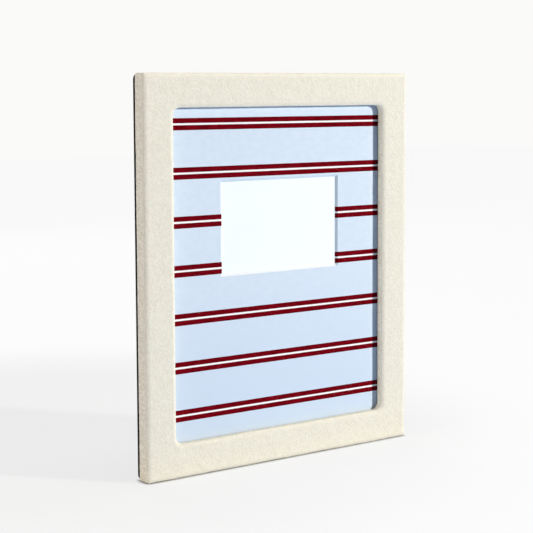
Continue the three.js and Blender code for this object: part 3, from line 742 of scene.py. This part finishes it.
def strut_board():
    low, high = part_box("strut")
    face = KNUCKLE_RADIUS - LEAF_THICKNESS - KNUCKLE_GAP
    hinge_side = KNUCKLE_RADIUS + 2 * KNUCKLE_GAP
    near_corner = (hinge_side, face - STRUT_THICKNESS, low.z)
    piece = start_block("flocked_strut", near_corner, (STRUT_WIDTH, face, high.z))
    cut((0, 0, STRUT_FOOT_HEIGHT), UP)
    pick(piece, "verts", lambda v: near(v.co.x, STRUT_WIDTH) and near(v.co.z, high.z))
    bpy.ops.transform.translate(value=(STRUT_TOP_WIDTH - STRUT_WIDTH, 0, 0))
    corners = ((STRUT_WIDTH, STRUT_FOOT_HEIGHT), (STRUT_TOP_WIDTH, high.z))

    def is_corner(edge):
        return any(all(near(v.co.x, x) and near(v.co.z, z) for v in edge.verts) for x, z in corners)

    pick(piece, "edges", is_corner)
    round_edges(STRUT_ROUNDING, BOARD_CORNER_STEPS)
    soften(BOARD_SOFTENING, steps=3)
    put(piece, STRUT_AXIS, "Z", STRUT_OPEN_ANGLE)
    stands_for(piece, "strut", PANEL_FLOCK)


def hinge_leaf(name, knuckles, stop):
    """A leaf to the left of the axis: a plate whose tabs are rolled round the pin."""
    half = HINGE_LENGTH / 2
    clear = KNUCKLE_RADIUS + KNUCKLE_GAP
    top = LEAF_THICKNESS - KNUCKLE_RADIUS
    piece = start_block(name, (-LEAF_WIDTH, -KNUCKLE_RADIUS, -half), (-clear, top, half))
    pick(piece, "edges", lambda edge: runs_along(edge, 1) and near(edge.verts[0].co.x, -LEAF_WIDTH))
    round_edges(PLATE_CORNER_RADIUS, PLATE_CORNER_STEPS)
    for height in sorted({z for knuckle in knuckles for z in knuckle if abs(z) < half}):
        cut((0, 0, height), UP)

    def at_knuckle(face):
        z = face.calc_center_median().z
        return face.normal.x > FACING and any(low < z < high for low, high in knuckles)

    pick(piece, "faces", at_knuckle)
    extrude((clear, 0, 0))
    bpy.ops.mesh.spin(steps=KNUCKLE_STEPS, angle=KNUCKLE_ROLL_ANGLE, center=(0, 0, 0), axis=UP)
    if stop:
        for height in (-STOP_HALF, STOP_HALF):
            cut((0, 0, height), UP)
        cut((-clear - LEAF_THICKNESS, 0, 0), RIGHT)

        def at_stop(face):
            centre = face.calc_center_median()
            inner = -clear - LEAF_THICKNESS < centre.x < -clear
            return inner and face.normal.y > FACING and near(centre.y, top) and abs(centre.z) < STOP_HALF

        pick(piece, "faces", at_stop)
        extrude((0, STOP_TOP - top, 0))
    soften(PLATE_SOFTENING)
    return piece


def hinge_pin(name):
    """A pin along Z with a low round head at each end."""
    end = HINGE_LENGTH / 2 + KNUCKLE_GAP
    head = PIN_HEAD_HEIGHT
    add = bpy.ops.mesh.primitive_cylinder_add
    place = (0, 0, -end - head / 2)
    piece = start(name, add, vertices=28, radius=KNUCKLE_RADIUS, depth=head, location=place)
    pick(piece, "faces", lambda face: face.normal.z > FACING)
    bpy.ops.mesh.inset(thickness=KNUCKLE_RADIUS - PIN_RADIUS)
    extrude((0, 0, 2 * end))
    wide = KNUCKLE_RADIUS / PIN_RADIUS
    extrude((0, 0, 0))
    bpy.ops.transform.resize(value=(wide, wide, 1), center_override=(0, 0, end))
    extrude((0, 0, head))
    soften(PIN_SOFTENING, steps=3)
    return piece


def add_hinge(hinge, fixed, moving, pin):
    """Puts copies of two leaves and a pin in one hinge's place."""
    low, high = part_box(hinge + "_pin")
    place = Vector((STRUT_AXIS.x, STRUT_AXIS.y, (low.z + high.z) / 2))
    leaf = put(copy_of(fixed, hinge + "_rolled_fixed_leaf"), place)
    stands_for(leaf, hinge + "_fixed_leaf", BRASS)
    leaf = put(copy_of(moving, hinge + "_rolled_moving_leaf"), place, "Z", STRUT_OPEN_ANGLE + math.pi)
    stands_for(leaf, hinge + "_moving_leaf", BRASS)
    turned = put(copy_of(pin, hinge + "_turned_pin"), place)
    stands_for(turned, hinge + "_pin", ZINC)


def add_rivets(hinge, rivet):
    """Puts copies of a rivet through one hinge's leaves, into the panel and the open strut."""
    panel_seat = STRUT_AXIS.y - KNUCKLE_RADIUS + LEAF_THICKNESS + SEAT_GAP
    opened = Matrix.Rotation(STRUT_OPEN_ANGLE, 4, "Z")
    strut_seat = STRUT_AXIS + opened @ Vector((RIVET_REACH, KNUCKLE_RADIUS + SEAT_GAP, 0))
    for end in ("lower", "upper"):
        node = f"{hinge}_panel_rivet_{end}"
        low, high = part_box(node)
        height = (low.z + high.z) / 2
        made = put(copy_of(rivet, node + "_domed"), (STRUT_AXIS.x - RIVET_REACH, panel_seat, height))
        stands_for(made, node, BRASS)
        node = f"{hinge}_strut_rivet_{end}"
        place = (strut_seat.x, strut_seat.y, height)
        made = put(copy_of(rivet, node + "_domed"), place, "Z", STRUT_OPEN_ANGLE)
        stands_for(made, node, BRASS)


def add_strut():
    strut_board()
    half = HINGE_LENGTH / 2
    outer = KNUCKLE_HALF + KNUCKLE_GAP
    fixed = hinge_leaf("fixed_leaf", ((-half, -outer), (outer, half)), stop=True)
    moving = hinge_leaf("moving_leaf", ((-KNUCKLE_HALF, KNUCKLE_HALF),), stop=False)
    pin = hinge_pin("hinge_pin")
    low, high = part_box("hinge_lower_panel_rivet_lower")
    shank = high.y - low.y - RIVET_HEAD_HEIGHT
    rivet = domed_fixing("rivet", (high.x - low.x) / 2, RIVET_HEAD_HEIGHT, RIVET_RADIUS, shank)
    for hinge in ("hinge_lower", "hinge_upper"):
        add_hinge(hinge, fixed, moving, pin)
        add_rivets(hinge, rivet)
    for template in (fixed, moving, pin, rivet):
        bpy.data.objects.remove(template)


# Turn buttons and hanger

BUTTON_PLACES = ("top_left", "top_right", "left", "right", "bottom_left", "bottom_right")
BUTTON_END_SHARE = 0.999
BUTTON_END_STEPS = 10
BUTTON_SOFTENING = 0.3 * MM
SCREW_HEAD_HEIGHT = 1.6 * MM
SCREW_RADIUS = 1.4 * MM
SCREW_SLOT = (0.8 * MM, 0.7 * MM)
FIRST_SLOT_TURN = 25
NEXT_SLOT_TURN = 67
HANGER_FOOT = 9 * MM
HANGER_THICKNESS = 0.9 * MM
TOOTH_PITCH = 3.2 * MM
TOOTH_COUNT = 7
TOOTH_HEIGHT = 2 * MM
NAIL_HEAD_HEIGHT = 0.7 * MM
NAIL_RADIUS = 0.8 * MM


def add_turn_buttons():
    low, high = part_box("turn_button_left")
    pivot = Vector(JOINTS["left_button_turn"]["pos_m"])
    half = (high.z - low.z) / 2
    thickness = high.y - low.y
    button = start_block("turn_button", (-half, 0, -half), (high.x - pivot.x, thickness, half))
    pick(button, "edges", lambda edge: runs_along(edge, 1))
    round_edges(half * BUTTON_END_SHARE, BUTTON_END_STEPS)
    soften(BUTTON_SOFTENING, steps=3)
    screw_low, screw_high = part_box("button_screw_left")
    shank = high.y + SEAT_GAP - screw_low.y
    head = (screw_high.x - screw_low.x) / 2
    screw = domed_fixing("button_screw", head, SCREW_HEAD_HEIGHT, SCREW_RADIUS, shank, SCREW_SLOT)
    for number, place in enumerate(BUTTON_PLACES):
        pivot = Vector(JOINTS[place + "_button_turn"]["pos_m"])
        low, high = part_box("turn_button_" + place)
        arm = (low + high) / 2 - pivot
        pointing = math.atan2(arm.z, arm.x)
        made = put(copy_of(button, "pressed_button_" + place), (pivot.x, low.y, pivot.z), "Y", -pointing)
        stands_for(made, "turn_button_" + place, BRASS)
        turn = math.radians(FIRST_SLOT_TURN + NEXT_SLOT_TURN * number)
        seat = (pivot.x, high.y + SEAT_GAP, pivot.z)
        made = put(copy_of(screw, "slotted_screw_" + place), seat, "Y", turn)
        stands_for(made, "button_screw_" + place, BRASS)
    for template in (button, screw):
        bpy.data.objects.remove(template)


def hanger_plate(half, height, rise):
    """A plate with low feet at both ends, a raised middle and teeth along its lower edge."""
    bend = half - HANGER_FOOT
    raised = bend - rise
    toothed = TOOTH_PITCH * TOOTH_COUNT / 2
    piece = start_block("pressed_sawtooth_hanger", (-half, 0, -height), (half, HANGER_THICKNESS, height))
    pick(piece, "edges", lambda edge: runs_along(edge, 1))
    round_edges(PLATE_CORNER_RADIUS, PLATE_CORNER_STEPS)
    for x in (bend, raised, toothed):
        cut((-x, 0, 0), RIGHT)
        cut((x, 0, 0), RIGHT)
    pick(piece, "verts", lambda v: abs(v.co.x) < raised + TOUCH)
    bpy.ops.transform.translate(value=(0, rise, 0))

    def is_toothed(edge):
        centre = (edge.verts[0].co + edge.verts[1].co) / 2
        return near(centre.z, -height) and near(centre.x, 0) and runs_along(edge, 0)

    def is_notch(vertex):
        step = (vertex.co.x + toothed) / (TOOTH_PITCH / 2)
        return near(vertex.co.z, -height) and abs(vertex.co.x) < toothed and round(step) % 2 == 1

    pick(piece, "edges", is_toothed)
    bpy.ops.mesh.subdivide(number_cuts=2 * TOOTH_COUNT - 1)
    pick(piece, "verts", is_notch)
    bpy.ops.transform.translate(value=(0, 0, TOOTH_HEIGHT))
    soften(PLATE_SOFTENING)
    return piece


def add_hanger():
    low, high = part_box("sawtooth_hanger")
    middle = (low + high) / 2
    rise = high.y - low.y - HANGER_THICKNESS
    piece = hanger_plate((high.x - low.x) / 2, (high.z - low.z) / 2, rise)
    put(piece, (middle.x, low.y, middle.z))
    stands_for(piece, "sawtooth_hanger", BRASS)
    nail_low, nail_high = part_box("hanger_nail_left")
    seat = low.y + HANGER_THICKNESS + SEAT_GAP
    head = (nail_high.x - nail_low.x) / 2
    nail = domed_fixing("hanger_nail", head, NAIL_HEAD_HEIGHT, NAIL_RADIUS, seat - nail_low.y)
    for side in ("left", "right"):
        low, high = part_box("hanger_nail_" + side)
        made = put(copy_of(nail, "domed_nail_" + side), ((low.x + high.x) / 2, seat, (low.z + high.z) / 2))
        stands_for(made, "hanger_nail_" + side, ZINC)
    bpy.data.objects.remove(nail)


felt_cover()
back_cover()
backing_panel()
add_strut()
add_turn_buttons()
add_hanger()

for rail in RAILS:
    dress(rail, FIBREBOARD)
for filler in ("filler_front", "filler_rear"):
    dress(filler, GREYBOARD)
for corner in ("top_right", "top_left", "bottom_left", "bottom_right"):
    dress("corner_nail_" + corner, ZINC)
dress("glazing", GLAZING)
dress("mat_facing", STRIPED_PAPER)
dress("mat_board", MAT_CORE)
dress("photo_print", PRINT_PAPER)


# Studio

AMBIENT = (0.006, 0.012, 0.02)
BACKDROP = srgb(250, 250, 248)

# The floor: its colour as seen and as it lights the frame, in front of the foot and elsewhere
FLOOR_SIZE = 12
FLOOR_SEEN = (0.82, 0.82, 0.806)
FLOOR_BOUNCE = (0.32, 0.47, 0.77)
FOOT_BOUNCE = (0.56, 0.62, 0.74)
FOOT_REACH = 60 * MM

# How far the floor goes over into white, near the frame and at a distance from the shadow's middle
NEAR_PALENESS = 0.7
FAR_PALENESS = 0.94
SHADOW_MIDDLE = (-0.15, 0.25, 0)
SHADOW_REACH = 0.3
PALE_REACH = 0.62
CONTACT_SHADOW = 5 * MM
# Colour of the painted shade where the floor meets the frame's foot
CONTACT_SHADE_COLOUR = (0.12, 0.1, 0.08)

# The photograph's view, with its yaw, pitch and roll in degrees
CAMERA_PLACE = (-0.90226, -1.22726, 0.39900)
CAMERA_TURN = (35.80, 5.44, 0.24)
CAMERA_SENSOR = 36
CAMERA_LENS = 96.79
CAMERA_SHIFT = -0.08


def seen_rays(tree):
    """A socket that is 1 for what is seen, also in gloss or through glass, and 0 for what gives light."""
    path = tree.nodes.new("ShaderNodeLightPath")
    seen = path.outputs["Is Camera Ray"]
    for ray in ("Is Glossy Ray", "Is Transmission Ray"):
        either = tree.nodes.new("ShaderNodeMath")
        either.operation = "MAXIMUM"
        tree.links.new(seen, either.inputs[0])
        tree.links.new(path.outputs[ray], either.inputs[1])
        seen = either.outputs[0]
    return seen


def studio_world():
    """A dim, slightly cool light from all round, which shows as white."""
    world = bpy.data.worlds.new("studio")
    bpy.context.scene.world = world
    world.use_nodes = True
    tree = world.node_tree
    light = tree.nodes.new("ShaderNodeMix")
    light.data_type = "RGBA"
    tree.links.new(seen_rays(tree), light.inputs[0])
    light.inputs[6].default_value = (*AMBIENT, 1)
    light.inputs[7].default_value = (*BACKDROP, 1)
    tree.links.new(light.outputs[2], tree.nodes["Background"].inputs["Color"])


def studio_floor():
    """A pale floor that fades out into the white all round."""
    bpy.ops.object.select_all(action="DESELECT")
    bpy.ops.mesh.primitive_plane_add(size=FLOOR_SIZE)
    floor = bpy.context.object
    floor.name = "studio_floor"
    paint = Finish("pale_floor", roughness=0.9, specular_ior_level=0.0)
    seen = Value(paint, seen_rays(paint.tree))
    from_foot = abs(paint.axis("Y") - COVER_LOW.y)
    bounce = paint.mix(paint.ramp(from_foot, FOOT_REACH, 0), FLOOR_BOUNCE, FOOT_BOUNCE)
    # Painted contact shadow: where the foot hides the sky, the floor's seen colour darkens towards a brown
    # shade
    open_sky = paint.node("ShaderNodeAmbientOcclusion", {"samples": 8}, {"Distance": CONTACT_SHADOW}, "AO")
    shaded = paint.mix(open_sky, CONTACT_SHADE_COLOUR, FLOOR_SEEN)
    paint.colour(paint.mix(seen, bounce, shaded))

    places = {0: paint.place, 1: SHADOW_MIDDLE}
    distance = paint.node("ShaderNodeVectorMath", {"operation": "DISTANCE"}, places, "Value")
    far = paint.ramp(distance, SHADOW_REACH, PALE_REACH)
    paleness = NEAR_PALENESS * open_sky * open_sky + (FAR_PALENESS - NEAR_PALENESS) * far
    body = Value(paint, paint.shader.outputs[0])
    pale = paint.node("ShaderNodeEmission", {}, {"Color": (1, 1, 1), "Strength": 1.0})
    lit = paint.node("ShaderNodeMixShader", {}, {0: seen * paleness, 1: body, 2: pale})
    paint.set(paint.output, "Surface", lit)
    floor.data.materials.append(paint.material)


def lamp(name, place, size, power, colour, mirrored=True):
    """A soft square lamp aimed at the frame's middle, which glossy surfaces may mirror."""
    bpy.ops.object.light_add(type="AREA", location=place)
    light = bpy.context.object
    light.name = name
    light.data.size = size
    light.data.energy = power
    light.data.color = colour
    light.rotation_euler = (MIDDLE - Vector(place)).to_track_quat("-Z", "Y").to_euler()
    light.visible_camera = False
    light.visible_glossy = mirrored


def studio_camera():
    """A camera to the left of the frame, a little above its middle."""
    yaw, pitch, roll = (math.radians(angle) for angle in CAMERA_TURN)
    bpy.ops.object.camera_add(location=CAMERA_PLACE)
    camera = bpy.context.object
    level = Matrix.Rotation(-yaw, 4, "Z") @ Matrix.Rotation(math.pi / 2 - pitch, 4, "X")
    camera.rotation_euler = (level @ Matrix.Rotation(-roll, 4, "Z")).to_euler()
    camera.data.sensor_width = CAMERA_SENSOR
    camera.data.lens = CAMERA_LENS
    camera.data.shift_y = CAMERA_SHIFT
    bpy.context.scene.camera = camera


studio_world()
studio_floor()
lamp("key", place=(3.52, -4.27, 1.34), size=0.375, power=328, colour=(1, 0.972, 0.912))
lamp("low_fill", place=(2.25, -2.55, 0.06), size=0.2, power=9, colour=(1, 0.94, 0.86), mirrored=False)
lamp("side_fill", place=(-1.9, -0.085, 0.3), size=0.25, power=18.4, colour=(1, 0.89, 0.76))
lamp("top_fill", place=(0, -0.05, 2.2), size=1, power=18, colour=(0.93, 0.97, 1))
lamp("back_fill", place=(0.5, 2.2, 1.2), size=1.4, power=15, colour=(1, 1, 1))
studio_camera()
bpy.context.scene.view_settings.view_transform = "Standard"
